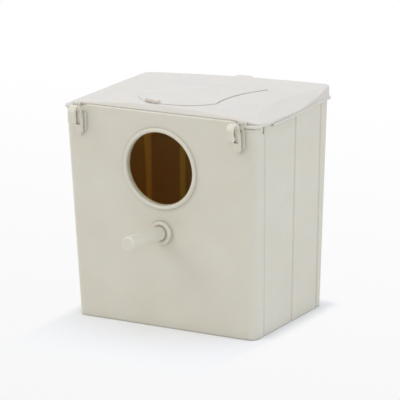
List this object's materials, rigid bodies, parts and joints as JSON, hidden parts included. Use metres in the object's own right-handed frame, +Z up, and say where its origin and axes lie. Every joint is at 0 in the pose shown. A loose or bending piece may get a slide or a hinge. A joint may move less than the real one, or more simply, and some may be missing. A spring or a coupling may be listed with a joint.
{
  "type": "cage bird nest box",
  "caption": "Moulded plastic nest box for small cage birds: leaning walls, beaded round entrance, plug-in perch, wire hooks, and a front-hinged lid with a bend-up flap.",
  "frame": {"origin": "middle of the underside of the floor tray", "axes": "+Z up, -Y out of the entrance, +X to the right of someone looking at the entrance"},
  "size_m": [0.1528, 0.153, 0.1552],
  "materials": {
    "wall_plastic": "satin warm ivory moulding",
    "lid_plastic": "satin warm ivory moulding"
  },
  "bodies": {
    "box": {"front_panel": "wall_plastic", "back_shell": "wall_plastic", "base_tray": "wall_plastic", "perch": "wall_plastic", "hook_left": "wall_plastic", "hook_right": "wall_plastic"},
    "lid": {"lid": "lid_plastic"},
    "flap": {"lid_flap": "lid_plastic"}
  },
  "joints": [
    {"name": "lid_hinge", "type": "hinge", "parent": "box", "child": "lid", "pos_m": [0, -0.05139, 0.1485], "axis": [1, 0, 0], "range_deg": [0, 90]},
    {"name": "flap_bend", "type": "hinge", "parent": "lid", "child": "flap", "pos_m": [0, 0.0209, 0.15307], "axis": [-0.9997, 0, -0.0241], "range_deg": [0, 60]}
  ]
}
